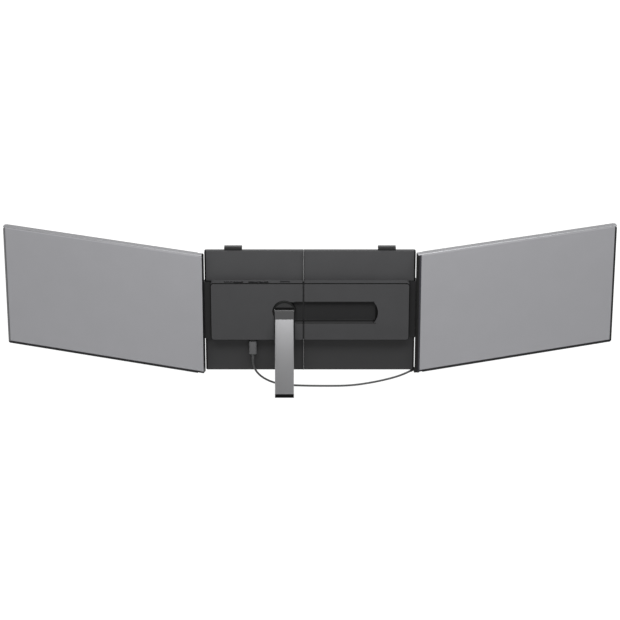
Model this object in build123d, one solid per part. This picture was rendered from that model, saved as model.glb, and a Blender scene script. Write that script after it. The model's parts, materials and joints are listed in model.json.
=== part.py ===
"""Laptop screen extender: a sliding back unit that hooks on a laptop's lid, with two folding displays.

Millimetres. +X runs to the right seen from behind the lid, +Y points at the laptop's user, +Z is up.
The origin is on the face that lies on the lid, half way up, between the two display hinges.
Each display is drawn along its own axes: u runs away from the hinge, v towards the user, and w is the
depth from the display's back face. The left side is drawn as a right side and mirrored.
"""
from build123d import *
import math
import os

# back plates that lie on the laptop's lid
plate_margin = 0.5
plate_depth = 6.0
plate_half_span = 157.0
plate_corner = 2.5
plate_wall = 1.6
cover_thickness = 1.6
left_half_width = 147.1
seam_gap = 0.4

# housing on the back of the plates
housing_side_step = 8.3
housing_seam_step = 1.1
housing_top = 51.3
housing_bottom = -43.7
housing_depth = 12.0
housing_wall = 1.8
housing_edge = 1.2
housing_corner = 5.0

# displays
display_width = 321.0
display_height = 197.0
display_thickness = 9.0
display_yaw = 19.0
display_corner = 3.0
rim_bottom = 3.2
rim_outer = 2.4
inner_wall = 2.0
shelf_width = 4.0
shelf_depth = 4.6
shelf_thickness = 0.9
back_skin = 1.8
top_wrap = 1.6
skin_bevel = 0.7
glass_thickness = 0.9
panel_thickness = 2.4
driver_board_size = (120.0, 30.0, 1.2)
driver_board_inset = 60.0
driver_board_lift = 16.0

# display hinges
left_axis_reach = 4.3
left_axis_y = -5.4
right_axis_reach = 3.5
right_axis_y = 1.3
fold_gap = 0.5
stack_gap = 1.0
inner_overhang = 6.0
spine_reach = 3.3
spine_strip = 4.5
spine_corner = 1.0
barrel_radius = 2.9
pin_radius = 1.5
pin_chamfer = 0.3
arm_drop = 1.3
end_knuckle = 14.0
lug_length = 16.0
knuckle_gap = 0.4
arm_base_length = 17.7
arm_step_length = 5.1
arm_base_thickness = 4.8
arm_screw_step = 30.0
left_neck_depth = 5.4
right_neck_depth = 8.7

# kickstand
pivot_inset = 28.5
pivot_z = 4.8
pocket_radius = 17.3
pocket_depth = 6.0
slot_width = 30.8
slot_depth = 4.0
slot_slope = 4.0
tray_wall = 1.4
rim_chamfer = 0.6
disc_radius = 16.8
disc_recess = 0.2
disc_chamfer = 0.4
disc_floor = 1.5
notch_rise = 5.0
hub_radius = 5.9
hub_rise = 1.4
washer_reach = 4.0
washer_thickness = 1.0
clamp_reach = 2.0
clamp_thickness = 1.0
leg_length = 132.9
leg_width = 28.4
leg_thickness = 2.4
leg_edge = 0.35
leg_tilt = 15.0
leg_barrel = 1.9
tilt_axis_inset = 2.0
tilt_pin_radius = 1.0
tilt_pin_recess = 0.4
root_length = 12.9
foot_length = 5.7
foot_round = 0.9
scoop_length = 6.5

# lid clips
clip_inset = 42.8
clip_width = 26.7
clip_travel = 25.0
stem_width = 20.0
stem_thickness = 2.2
stem_hold = 14.0
hook_thickness = 2.2
hook_round = 1.8
hook_lift = 1.2
hook_reach = 8.8
lip_thickness = 1.6
lip_drop = 1.0
pad_thickness = 0.8
pad_inset = 1.0
spring_radius = 1.2
spring_bore = 0.7
spring_length = 35.0
spring_anchor = 4.0

# rails and sleeve that let the two halves slide
slide_travel = 30.0
rail_hold = 58.9
rail_spare = 4.0
rail_width = 10.0
rail_thickness = 2.0
rail_chamfer = 2.0
upper_rail_drop = 17.3
lower_rail_rise = 15.7
guide_inset = 21.9
guide_length = 18.0
guide_wall = 2.3
sleeve_hold = 7.7
sleeve_lap = 14.9
sleeve_wall = 1.5
sleeve_gap = 0.3

# electronics in the left half, sockets and chips measured from the board's outer edge
board_side_gap = 19.2
board_pocket_gap = 3.3
board_lift = 4.4
board_thickness = 1.2
chips = ((25.5, 4.0, 14.0), (51.5, 12.0, 10.0))
chip_thickness = 1.4
standoff_inset = 6.5
standoff_radius = 2.4
port_wall = 0.5
port_length = 8.5
port_floor = 1.0
port_inset = 0.3
port_tongue = 0.8
port_tongue_inset = 2.5
port_tongue_recess = 1.5
top_ports = ((7.5, 12.0, 3.8), (22.3, 14.9, 5.0), (45.1, 14.2, 5.0), (60.5, 14.2, 5.0))
lower_port_inset = 43.5
plug_port_width = 9.6
plug_port_height = 3.8
button_shift = 1.2
button_width = 14.4
button_depth = 4.0
button_round = 0.5
button_proud = 0.7
button_travel = 0.6
button_flange = 0.8
button_flange_thickness = 1.0
switch_width = 6.0
switch_height = 4.4
switch_depth = 5.0
switch_board_width = 18.0
switch_board_height = 6.4
switch_board_thickness = 1.2
switch_post_length = 2.2
switch_post_radius = 1.6
switch_post_inset = 2.5

# pads, screws and clearances
pad_length = 100.0
pad_width = 12.0
pad_level = 70.0
pad_seat = 0.8
pad_proud = 0.3
screw_head_radius = 2.5
screw_head = 1.2
screw_radius = 1.2
boss_radius = 3.4
fit = 0.1
running = 0.3
past = 1.0
close = 0.01

# cord from the hub's lower port to the right half
cord_diameter = 3.0
plug_length = 25.0
plug_width = 12.3
plug_thickness = 6.4
plug_round = 2.6
plug_chamfer = 0.9
tip_width = 8.3
tip_height = 2.5
tip_length = 6.6
relief_length = 13.6
relief_top_radius = 2.6
relief_end_radius = 2.0
gland_width = 4.8
gland_drop = 7.0
gland_rise = 6.0
gland_recess = 1.0
gland_round = 1.2
gland_stub_radius = 2.2
gland_stub_reach = 5.2
gland_stub_drop = 3.9
gland_stub_depth = 3.5
cord_run = (
    (-79.4, -12.6, -105.0), (-66.0, -13.1, -115.0), (-45.0, -13.3, -121.0), (-17.0, -13.3, -122.6),
    (20.0, -13.1, -122.6), (62.0, -12.2, -121.2),
)
cord_rise = ((-52.8, -6.1, -13.3), (-26.8, -3.1, -6.7), (-10.8, -1.2, -2.1))
cord_first_drop = 10.0
bend_share = 0.45

# places worked out from the sizes above
plate_top = display_height / 2 + plate_margin
plate_bottom = -plate_top
plate_back = -plate_depth
cover_back = -cover_thickness
seam_left = left_half_width - plate_half_span
seam_right = seam_left + seam_gap
stem_bottom = plate_top - stem_hold - clip_travel
spring_bottom = stem_bottom - spring_length
clip_x = plate_half_span - clip_inset
housing_back = plate_back - housing_depth
housing_half_span = plate_half_span - housing_side_step
pivot_x = seam_left - pivot_inset
slot_floor = housing_back + slot_depth
slot_end = pivot_x + leg_length + 2 * running
pocket_floor = housing_back + pocket_depth
tilt_axis_y = housing_back + tilt_axis_inset
notch_floor = pocket_floor - running - disc_floor
hub_end = pocket_floor + tray_wall + hub_rise
left_axis_x = plate_half_span + left_axis_reach
right_axis_x = plate_half_span + right_axis_reach
left_glass_offset = fold_gap - left_axis_y
right_glass_offset = fold_gap + display_thickness + stack_gap - right_axis_y
arm_top = housing_top - arm_drop
arm_base_x = housing_half_span - arm_base_length
arm_step_x = housing_half_span - arm_step_length
arm_base_back = plate_back - arm_base_thickness
rail_levels = (housing_top - upper_rail_drop, housing_bottom + lower_rail_rise)
guide_start = seam_right + guide_inset
rail_start = seam_left - rail_hold
rail_end = guide_start + guide_length + slide_travel + rail_spare
sleeve_start = seam_left - sleeve_hold
sleeve_end = seam_right + slide_travel + sleeve_lap
board_left = board_side_gap - housing_half_span
board_right = pivot_x - pocket_radius - board_pocket_gap
board_back = plate_back - board_lift
board_front = board_back + board_thickness
port_y = board_back - plug_port_height / 2
lower_port_x = board_left + lower_port_inset
button_x = pivot_x + button_shift
plug_top = housing_bottom - fit
relief_top = plug_top - plug_length
cord_top = relief_top - relief_length
cord_end = (plate_half_span - gland_stub_reach, -gland_stub_depth, plate_bottom - gland_stub_drop)


def block(x0, x1, y0, y1, z0, z1):
    """A box between two corners."""
    size = Box(x1 - x0, y1 - y0, z1 - z0)
    return Pos((x0 + x1) / 2, (y0 + y1) / 2, (z0 + z1) / 2) * size


def rod_y(x, z, radius, y0, y1):
    """A round rod along Y."""
    return Pos(x, (y0 + y1) / 2, z) * Rot(90, 0, 0) * Cylinder(radius, y1 - y0)


def rod_z(x, y, radius, z0, z1):
    """A round rod along Z."""
    return Pos(x, y, (z0 + z1) / 2) * Cylinder(radius, z1 - z0)


def rod_x(y, z, radius, x0, x1):
    """A round rod along X."""
    return Pos((x0 + x1) / 2, y, z) * Rot(0, 90, 0) * Cylinder(radius, x1 - x0)


def mirrored(shape):
    """The same shape on the left side."""
    return mirror(shape, about=Plane.YZ)


def edges_along_y(shape, x, z_values):
    """Edges that run along Y at one x and at the given heights."""
    found = [e for e in shape.edges().filter_by(Axis.Y) if abs(e.center().X - x) < close]
    return [e for e in found if any(abs(e.center().Z - z) < close for z in z_values)]


def save(shape, name):
    """Write one node's STEP file."""
    export_step(shape, f"parts/{name}.step")


# ---------------------------------------------------------------- back plates

def half_span(side):
    """Outer x and seam x of one half, side -1 for the left and 1 for the right."""
    if side < 0:
        return -plate_half_span, seam_left
    return plate_half_span, seam_right


def screw_places(side):
    """Centres (x, z) of the cover screws in one half."""
    outer, inner = half_span(side)
    inset = 2 * boss_radius
    level = plate_top - 3 * boss_radius
    near = inner + side * inset
    far = outer - side * inset
    return [(near, level), (near, -level), (far, level), (far, -level)]


def arm_screw_places(side):
    """Centres (x, z) of the screws that hold a hinge arm."""
    middle = (arm_top + housing_bottom) / 2
    x = side * (arm_base_x + 2 * screw_head_radius)
    return [(x, middle + step) for step in (-arm_screw_step, 0.0, arm_screw_step)]


def backplate(side):
    """The tray that carries a half: floor on the back, walls round it, screw bosses, clip channel."""
    outer, inner = half_span(side)
    x0, x1 = min(outer, inner), max(outer, inner)
    body = block(x0, x1, plate_back, cover_back - fit / 2, plate_bottom, plate_top)
    body = fillet(edges_along_y(body, outer, (plate_bottom, plate_top)), plate_corner)
    inside = block(x0 + plate_wall, x1 - plate_wall, plate_back + plate_wall, 0,
                   plate_bottom + plate_wall, plate_top - plate_wall)
    body -= inside
    for x, z in screw_places(side):
        body += rod_y(x, z, boss_radius, plate_back, cover_back - fit / 2)
        body -= rod_y(x, z, screw_radius + fit, plate_back + plate_wall, 0)
    for x, z in arm_screw_places(side):
        body -= rod_y(x, z, screw_radius + fit, plate_back - past, 0)
    # channel walls that guide the clip, its slit in the top edge and the post its spring hooks on
    centre = side * clip_x
    half = stem_width / 2 + running
    for edge in (centre - half - plate_wall, centre + half):
        body += block(edge, edge + plate_wall, plate_back + fit, cover_back - fit / 2,
                      spring_bottom - spring_anchor, plate_top - plate_wall + fit)
    body -= block(centre - half, centre + half, plate_back + plate_wall, 0, stem_bottom, plate_top + past)
    body += block(centre - half, centre + half, plate_back + fit, cover_back - fit / 2,
                  spring_bottom - spring_anchor, spring_bottom)
    # the hinge arm's neck passes through the edge
    notch = block(arm_step_x - running, plate_half_span + past, plate_back - past, 0,
                  housing_bottom - running, arm_top + running)
    body -= notch if side > 0 else mirrored(notch)
    if side < 0:
        for x in (board_left + standoff_inset, board_right - standoff_inset):
            for z in (housing_bottom + standoff_inset, housing_top - standoff_inset):
                body += rod_y(x, z, standoff_radius, board_front, plate_back + fit)
    return body


def front_cover(side):
    """The flat lid of a half, on the laptop's side, with seats for the rubber pads."""
    outer, inner = half_span(side)
    x0, x1 = min(outer, inner), max(outer, inner)
    body = block(x0, x1, cover_back, 0, plate_bottom, plate_top)
    body = fillet(edges_along_y(body, outer, (plate_bottom, plate_top)), plate_corner)
    for x, z in screw_places(side):
        body -= rod_y(x, z, screw_head_radius + fit, -screw_head, past)
        body -= rod_y(x, z, screw_radius + fit, cover_back - past, 0)
    for pad in lid_pads(side, fit):
        body -= pad
    return body


def lid_pads(side, gap=0.0):
    """Two rubber strips that lie on the laptop's lid."""
    outer, inner = half_span(side)
    centre = (outer + inner) / 2
    pads = []
    for level in (-pad_level, pad_level):
        strip = block(centre - pad_length / 2 - gap, centre + pad_length / 2 + gap, -pad_seat, pad_proud,
                      level - pad_width / 2 - gap, level + pad_width / 2 + gap)
        pads.append(fillet(strip.edges().filter_by(Axis.Y), pad_width / 3))
    return pads


def cover_screws(side):
    """Flat-head screws through the front cover."""
    screws = []
    for x, z in screw_places(side):
        head = rod_y(x, z, screw_head_radius, -screw_head + fit / 2, 0)
        shank = rod_y(x, z, screw_radius, plate_back + plate_wall + fit, -screw_head + fit / 2)
        screws.append(head + shank)
    return screws


# ---------------------------------------------------------------- housing

def pocket_shape(grow, y0, y1):
    """The round pocket, the stowing slot and the channel below it, as one solid between two depths."""
    half = slot_width / 2 + grow
    lane = block(pivot_x, slot_end + grow, y0, y1, pivot_z - half, pivot_z + half)
    channel = block(pivot_x - half, pivot_x + half, y0, y1, housing_bottom - past, pivot_z)
    return lane + channel + rod_y(pivot_x, pivot_z, pocket_radius + grow, y0, y1)


def scoop(grow, y0, y1):
    """The finger scoop at the end of the slot: a shallow arc over the whole height of the slot's mouth."""
    half = (slot_width + slot_slope) / 2
    level = pivot_z - slot_slope / 2
    radius = (half ** 2 + scoop_length ** 2) / (2 * scoop_length)
    disc = rod_y(slot_end + scoop_length - radius, level, radius + grow, y0, y1)
    keep = block(slot_end - past, slot_end + scoop_length + grow + past, y0, y1,
                 level - half - grow, level + half + grow)
    return disc & keep


def slot_ramp():
    """The slope along the slot's lower edge, from its floor up to the housing's back."""
    low = pivot_z - slot_width / 2
    corners = [(housing_back, low), (slot_floor, low), (housing_back, low - slot_slope)]
    start = pivot_x + slot_width / 2
    face = Plane.YZ.offset(start) * Polygon(*corners, align=None)
    return extrude(face, slot_end - start, dir=(1, 0, 0))


def housing(side):
    """One half of the raised housing, hollow, open to the plate, with its share of the stowing slot."""
    inner = half_span(side)[1] + side * housing_seam_step
    outer = side * housing_half_span
    x0, x1 = min(outer, inner), max(outer, inner)
    body = block(x0, x1, housing_back, plate_back, housing_bottom, housing_top)
    body = fillet(edges_along_y(body, outer, (housing_bottom, housing_top)), housing_corner)
    rim = body.faces().sort_by(Axis.Y)[0].edges()
    rim = [e for e in rim if abs(e.center().X - inner) > close]
    body = chamfer(rim, housing_edge)
    wall = housing_wall
    room = block(min(outer - side * wall, inner), max(outer - side * wall, inner), housing_back + wall,
                 plate_back + past, housing_bottom + wall, housing_top - wall)
    pan = pocket_shape(tray_wall, housing_back, slot_floor + tray_wall)
    pan += rod_y(pivot_x, pivot_z, pocket_radius + tray_wall, housing_back, pocket_floor + tray_wall)
    pan += scoop(tray_wall, housing_back, slot_floor + tray_wall)
    ramp_low = pivot_z - slot_width / 2 - slot_slope - tray_wall
    pan += block(pivot_x + slot_width / 2, slot_end + tray_wall, housing_back, slot_floor + tray_wall,
                 ramp_low, pivot_z)
    body -= room - pan
    body -= pocket_shape(0, housing_back - past, slot_floor)
    body -= scoop(0, housing_back - past, slot_floor) + slot_ramp()
    # the hinge arm leaves through the side wall
    gate = block(housing_half_span - 2 * wall, housing_half_span + past, arm_base_back - running,
                 plate_back + past, housing_bottom + wall, housing_top - wall)
    body -= gate if side > 0 else mirrored(gate)
    if side > 0:
        return body
    body -= rod_y(pivot_x, pivot_z, pocket_radius, housing_back - past, pocket_floor)
    body -= rod_y(pivot_x, pivot_z, hub_radius + 2 * fit, housing_back, plate_back)
    bevel = Pos(pivot_x, housing_back + rim_chamfer / 2, pivot_z) * Rot(90, 0, 0)
    body -= bevel * Cone(pocket_radius, pocket_radius + rim_chamfer, rim_chamfer)
    for x, width, height in socket_places():
        body -= port_block(x, width + 2 * running, height, housing_top - 3 * wall, housing_top + past,
                           running)
    body -= port_block(lower_port_x, plug_port_width + 2 * running, plug_port_height, housing_bottom - past,
                       housing_bottom + 3 * wall, running)
    body -= block(button_x - button_width / 2 - running, button_x + button_width / 2 + running,
                  port_y - button_depth / 2 - running, port_y + button_depth / 2 + running,
                  housing_top - 2 * wall, housing_top + past)
    return body


def socket_places():
    """Centre x, width and height of each socket on the top edge."""
    return [(board_left + inset, width, height) for inset, width, height in top_ports]


def port_block(x, width, height, z0, z1, grow=0.0):
    """The outer block of a port that stands on the board's back side."""
    return block(x - width / 2, x + width / 2, board_back - height - grow, board_back + grow, z0, z1)


# ---------------------------------------------------------------- slide between the halves

def slide_rails():
    """Two flat steel rails fixed in the left half."""
    rails = []
    for level in rail_levels:
        rail = block(rail_start, rail_end, plate_back - fit - rail_thickness, plate_back - fit,
                     level - rail_width / 2, level + rail_width / 2)
        rails.append(chamfer(rail.edges().filter_by(Axis.Y), rail_chamfer))
    return rails


def rail_guides():
    """Two channels on the right half that run on the rails."""
    guides = []
    for level in rail_levels:
        half = rail_width / 2 + 2 * fit
        back = plate_back - fit - rail_thickness - 2 * fit
        guide = block(guide_start, guide_start + guide_length, back - guide_wall / 2, plate_back,
                      level - half - guide_wall, level + half + guide_wall)
        guide -= block(guide_start - past, guide_start + guide_length + past, back, plate_back + past,
                       level - half, level + half)
        guides.append(guide)
    return guides


def inner_sleeve():
    """The dark sleeve that fills the gap when the halves are pulled apart."""
    inset = housing_wall + sleeve_gap
    z0, z1 = housing_bottom + inset, housing_top - inset
    back = housing_back + inset
    front = plate_back - sleeve_gap
    outer = block(sleeve_start, sleeve_end, back, front, z0, z1)
    hollow = block(sleeve_start - past, sleeve_end + past, back + sleeve_wall, front + past,
                   z0 + sleeve_wall, z1 - sleeve_wall)
    half = slot_width / 2 + tray_wall + sleeve_gap
    floor = slot_floor + tray_wall + sleeve_gap
    low, high = pivot_z - half - slot_slope, pivot_z + half
    trough = block(sleeve_start, sleeve_end, back, floor + sleeve_wall, low - sleeve_wall, high + sleeve_wall)
    lane = block(sleeve_start - past, sleeve_end + past, back - past, floor, low, high)
    return (outer - hollow) + trough - lane


# ---------------------------------------------------------------- electronics

def main_board():
    """The hub's circuit board with its two largest chips."""
    body = block(board_left, board_right, board_back, board_front, housing_bottom + 2 * housing_wall,
                 housing_top - 2 * housing_wall)
    for inset, z, size in chips:
        x = board_left + inset
        body += block(x - size / 2, x + size / 2, board_back - chip_thickness, board_back,
                      z - size / 2, z + size / 2)
    return body


def port_shells():
    """The four sockets on the top edge."""
    shells = []
    for x, width, height in socket_places():
        top = housing_top - port_inset
        bottom = top - port_length
        middle = board_back - height / 2
        shell = port_block(x, width, height, bottom, top)
        mouth = block(x - width / 2 + port_wall, x + width / 2 - port_wall, board_back - height + port_wall,
                      board_back - port_wall, bottom + port_floor, top + past)
        half = width / 2 - port_tongue_inset
        tongue = block(x - half, x + half, middle - port_tongue / 2, middle + port_tongue / 2,
                       bottom + port_floor / 2, top - port_tongue_recess)
        shells.append(shell - mouth + tongue)
    return shells


def lower_socket():
    """The socket on the bottom edge that takes the cord's plug."""
    z0 = housing_bottom + port_inset
    z1 = z0 + port_length
    shell = port_block(lower_port_x, plug_port_width, plug_port_height, z0, z1)
    half = plug_port_width / 2 - port_wall
    mouth = block(lower_port_x - half, lower_port_x + half, board_back - plug_port_height + port_wall,
                  board_back - port_wall, z0 - past, z1 - port_floor)
    return shell - mouth


def menu_button():
    """The push button on the top edge, with the flange that keeps it in."""
    half_x, half_y = button_width / 2, button_depth / 2
    under = housing_top - housing_wall - running
    lowest = under - button_flange_thickness
    cap = block(button_x - half_x, button_x + half_x, port_y - half_y, port_y + half_y,
                lowest, housing_top + button_proud)
    cap = fillet(cap.faces().sort_by(Axis.Z)[-1].edges(), button_round)
    wide_x, wide_y = half_x + button_flange, half_y + button_flange
    flange = block(button_x - wide_x, button_x + wide_x, port_y - wide_y, port_y + wide_y, lowest, under)
    return cap + flange


def button_switch():
    """The small board that carries the switch under the button."""
    top = housing_top - housing_wall - running - button_flange_thickness - button_travel - fit
    front = plate_back - switch_post_length
    back = front - switch_board_thickness
    half = switch_board_width / 2
    body = block(button_x - half, button_x + half, back, front, top - switch_board_height, top)
    body += block(button_x - switch_width / 2, button_x + switch_width / 2, back - switch_depth, back,
                  top - switch_height, top)
    for x in (button_x - half + switch_post_inset, button_x + half - switch_post_inset):
        body += rod_y(x, top - switch_board_height / 2, switch_post_radius, front, plate_back)
    return body


# ---------------------------------------------------------------- hinge arms

def knuckle_levels():
    """Heights of the arm's three knuckles and of the display's two lugs on a hinge."""
    low, high = housing_bottom, arm_top
    lug_a = (low + end_knuckle + knuckle_gap, low + end_knuckle + knuckle_gap + lug_length)
    lug_b = (high - end_knuckle - knuckle_gap - lug_length, high - end_knuckle - knuckle_gap)
    middle = (lug_a[1] + knuckle_gap, lug_b[0] - knuckle_gap)
    return [(low, low + end_knuckle), middle, (high - end_knuckle, high)], [lug_a, lug_b]


def hinge_arm(axis_x, axis_y, neck_depth):
    """The bracket from the plate to the hinge, drawn for the right side."""
    arms, _ = knuckle_levels()
    neck_back = axis_y - neck_depth
    neck_end = axis_x - barrel_radius - running
    front = cover_back - 2 * fit
    low = housing_bottom + housing_wall + running
    high = housing_top - housing_wall - running
    outside = housing_half_span + running
    side = plate_half_span + running
    body = block(arm_base_x, outside, arm_base_back, plate_back, low, high)
    body += block(arm_step_x, outside, max(neck_back, arm_base_back), front, low, high)
    body += block(outside, neck_end, neck_back, front, housing_bottom, arm_top)
    for z0, z1 in arms:
        body += block(side, axis_x, neck_back, max(axis_y, front), z0, z1)
        body += block(side, axis_x, axis_y - barrel_radius, axis_y + barrel_radius, z0, z1)
        body += rod_z(axis_x, axis_y, barrel_radius, z0, z1)
    body -= rod_z(axis_x, axis_y, pin_radius + fit / 2, housing_bottom - past, arm_top + past)
    for x, z in arm_screw_places(1):
        body -= rod_y(x, z, screw_radius + fit, arm_base_back - past, plate_back + past)
    return body


def hinge_pin(axis_x, axis_y):
    """The steel pin of a display hinge."""
    pin = rod_z(axis_x, axis_y, pin_radius, housing_bottom + running, arm_top - running)
    return chamfer(pin.edges(), pin_chamfer)


def arm_screws(side):
    """Three pan-head screws that hold a hinge arm."""
    screws = []
    for x, z in arm_screw_places(side):
        head = rod_y(x, z, screw_head_radius, arm_base_back - screw_head, arm_base_back)
        shank = rod_y(x, z, screw_radius, arm_base_back, plate_back + plate_wall)
        screws.append(head + shank)
    return screws


# ---------------------------------------------------------------- displays, in their own axes u, v, z

def depth_block(offset, u0, u1, w0, w1, z0, z1):
    """A block at depths w0 to w1 from the back face of a display whose glass lies at -offset."""
    back = -(offset + display_thickness)
    return block(u0, u1, back + w0, back + w1, z0, z1)


def display_ends():
    """Inner and outer u, bottom and top z of a display."""
    return -inner_overhang, display_width - inner_overhang, -display_height / 2, display_height / 2


def display_frame(offset):
    """The dark frame: rims at the bottom and the outer side, thin walls at the top and the hinge."""
    _, far, low, high = display_ends()
    front = display_thickness - glass_thickness
    near = spine_reach + fit
    roof = high - top_wrap - fit
    body = depth_block(offset, near, far, 0, front, low, roof)
    body = fillet(edges_along_y(body, far, (low, roof)), display_corner)
    body -= depth_block(offset, near - past, far - rim_outer, -past, back_skin + fit, low + rim_bottom,
                        roof + past)
    body -= depth_block(offset, near + inner_wall, far - rim_outer, 0, front + past, low + rim_bottom,
                        roof - inner_wall)
    shelf = depth_block(offset, near + inner_wall - fit, far - rim_outer + fit, shelf_depth,
                        shelf_depth + shelf_thickness, low + rim_bottom - fit, roof - inner_wall + fit)
    shelf -= depth_block(offset, near + inner_wall + shelf_width, far - rim_outer - shelf_width, 0,
                         front + past, low + rim_bottom + shelf_width, roof - inner_wall - shelf_width)
    return body + shelf


def back_cover(offset, start):
    """The metal back skin: a plate that wraps over the top edge."""
    near, far, low, high = display_ends()
    front = display_thickness - glass_thickness - fit
    plate = depth_block(offset, start, far - rim_outer - 2 * fit, 0, back_skin, low + rim_bottom + 2 * fit,
                        high - top_wrap)
    rim = plate.faces().sort_by(Axis.Y)[0].edges().sort_by(Axis.Z)[:-1]
    plate = chamfer(rim, skin_bevel)
    flange = depth_block(offset, near, far, 0, front, high - top_wrap, high)
    ridge = flange.faces().sort_by(Axis.Y)[0].edges().sort_by(Axis.Z)[-1:]
    return plate + chamfer(ridge, skin_bevel)


def hinge_spine(offset, strip):
    """The dark bar along the hinge side with its two lugs; strip is the width that shows on the back."""
    near, _, low, high = display_ends()
    roof = high - top_wrap - fit
    inner = back_skin + fit
    body = depth_block(offset, near, spine_reach, inner, display_thickness, low, roof)
    if strip:
        body += depth_block(offset, near, near + strip, 0, display_thickness, low, roof)
    body = fillet(edges_along_y(body, near, (low,)), spine_corner)
    for z0, z1 in knuckle_levels()[1]:
        body += block(-barrel_radius, barrel_radius, -offset - fit, 0, z0, z1)
        body += rod_z(0, 0, barrel_radius, z0, z1)
    return body - rod_z(0, 0, pin_radius + fit, -display_height, display_height)


def lcd_panel(offset):
    """The display module behind the glass."""
    _, far, low, high = display_ends()
    front = display_thickness - glass_thickness - fit
    return depth_block(offset, spine_reach + inner_wall + 2 * running, far - rim_outer - running,
                       front - panel_thickness, front, low + rim_bottom + running,
                       high - top_wrap - inner_wall - 2 * running)


def front_glass(offset):
    """The cover glass over the whole front."""
    _, far, low, high = display_ends()
    pane = depth_block(offset, spine_reach + fit, far, display_thickness - glass_thickness, display_thickness,
                       low, high)
    return fillet(edges_along_y(pane, far, (low, high)), display_corner)


def driver_board(offset):
    """The display's driver board on the back of the module."""
    length, height, thickness = driver_board_size
    low = -display_height / 2
    back = display_thickness - glass_thickness - 2 * fit - panel_thickness
    return depth_block(offset, driver_board_inset, driver_board_inset + length, back - thickness, back,
                       low + driver_board_lift, low + driver_board_lift + height)


def save_display(name, offset, strip, place, flip):
    """Write the six nodes of one display at its place."""
    start = -inner_overhang + strip + (fit if strip else 0)
    pieces = {
        "frame": display_frame(offset),
        "back_cover": back_cover(offset, start),
        "hinge_spine": hinge_spine(offset, strip),
        "lcd_panel": lcd_panel(offset),
        "front_glass": front_glass(offset),
        "driver_board": driver_board(offset),
    }
    for piece, shape in pieces.items():
        placed = place * shape
        save(mirrored(placed) if flip else placed, f"{name}_{piece}")


# ---------------------------------------------------------------- kickstand

def swivel_disc():
    """The disc that turns in the pocket, notched for the leg's root, with its hub through the floor."""
    face = housing_back + disc_recess
    under = pocket_floor - running
    body = rod_y(pivot_x, pivot_z, disc_radius, face, under)
    body = chamfer(body.faces().sort_by(Axis.Y)[0].edges(), disc_chamfer)
    half = leg_width / 2 + running
    body -= block(pivot_x - half, pivot_x + half, face - past, notch_floor, pivot_z - disc_radius - past,
                  pivot_z + notch_rise)
    body += rod_y(pivot_x, pivot_z, hub_radius, under - fit, hub_end)
    body -= rod_y(pivot_x, pivot_z, screw_radius + fit, notch_floor + fit, plate_back)
    reach = disc_radius + past
    return body - rod_x(tilt_axis_y, pivot_z, tilt_pin_radius + fit / 2, pivot_x - reach, pivot_x + reach)


def swivel_washer():
    """The friction washer that keeps the disc in the housing."""
    back = pocket_floor + tray_wall + fit
    front = back + washer_thickness
    ring = rod_y(pivot_x, pivot_z, hub_radius + washer_reach, back, front)
    return ring - rod_y(pivot_x, pivot_z, hub_radius + fit, back - past, front + past)


def swivel_screw():
    """The screw with a wide head that clamps the washer."""
    head = rod_y(pivot_x, pivot_z, hub_radius + clamp_reach, hub_end, hub_end + clamp_thickness)
    return head + rod_y(pivot_x, pivot_z, screw_radius, notch_floor + disc_floor, hub_end)


def tilt_pin():
    """The pin that the leg tilts on."""
    half = math.sqrt(disc_radius ** 2 - (2 * tilt_pin_radius) ** 2) - tilt_pin_recess
    return rod_x(tilt_axis_y, pivot_z, tilt_pin_radius, pivot_x - half, pivot_x + half)


def leg_place():
    """Where the leg's own axes stand: at the tilt pin, swung out."""
    return Pos(pivot_x, tilt_axis_y, pivot_z) * Rot(-leg_tilt, 0, 0)


def leg_faces():
    """Outer and inner face of the leg, measured from the tilt axis."""
    outer = housing_back - tilt_axis_y
    return outer, outer + leg_thickness


def leg_root():
    """The dark root of the leg with the barrel for the pin."""
    outer, inner = leg_faces()
    half = leg_width / 2
    body = rod_x(0, 0, leg_barrel, -half, half)
    body += block(-half, half, outer, inner, -root_length, 0)
    wide = half + past
    body -= block(-wide, wide, outer - past, -leg_barrel, -past, leg_barrel)
    body -= rod_x(0, 0, tilt_pin_radius + fit, -wide, wide)
    return leg_place() * body


def leg_blade():
    """The metal blade of the leg."""
    outer, inner = leg_faces()
    half = leg_width / 2
    body = block(-half, half, outer, inner, foot_length - leg_length, -root_length)
    body = chamfer(body.edges().filter_by(Axis.Z), leg_edge)
    return leg_place() * body


def rubber_foot():
    """The rubber end of the leg."""
    outer, inner = leg_faces()
    half = leg_width / 2
    body = block(-half, half, outer, inner, -leg_length, foot_length - leg_length)
    body = fillet(body.faces().sort_by(Axis.Z)[0].edges().filter_by(Axis.X), foot_round)
    return leg_place() * body


# ---------------------------------------------------------------- lid clips

def clip_slider(side):
    """The hook that slides out of the top edge and grips the lid."""
    x = side * clip_x
    back = plate_back + plate_wall + fit
    front = back + stem_thickness
    under = plate_top + hook_lift
    top = under + hook_thickness
    half = clip_width / 2
    body = block(x - half, x + half, back, hook_reach, under, top)
    body += block(x - half, x + half, hook_reach - lip_thickness, hook_reach, under - lip_drop, under + fit)
    body = fillet(body.faces().sort_by(Axis.Z)[-1].edges(), hook_round)
    stem = block(x - stem_width / 2, x + stem_width / 2, back, front, stem_bottom, under + fit)
    return body + stem


def clip_pad(side):
    """The rubber pad under the hook."""
    x = side * clip_x
    under = plate_top + hook_lift
    half = clip_width / 2 - pad_inset
    return block(x - half, x + half, pad_proud, hook_reach - lip_thickness, under - pad_thickness, under)


def clip_spring(side):
    """The outer form of the coil spring that pulls the clip down."""
    x = side * clip_x
    y = plate_back + plate_wall + fit + spring_radius
    tube = rod_z(x, y, spring_radius, spring_bottom, stem_bottom)
    return tube - rod_z(x, y, spring_bore, spring_bottom - past, stem_bottom + past)


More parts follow.
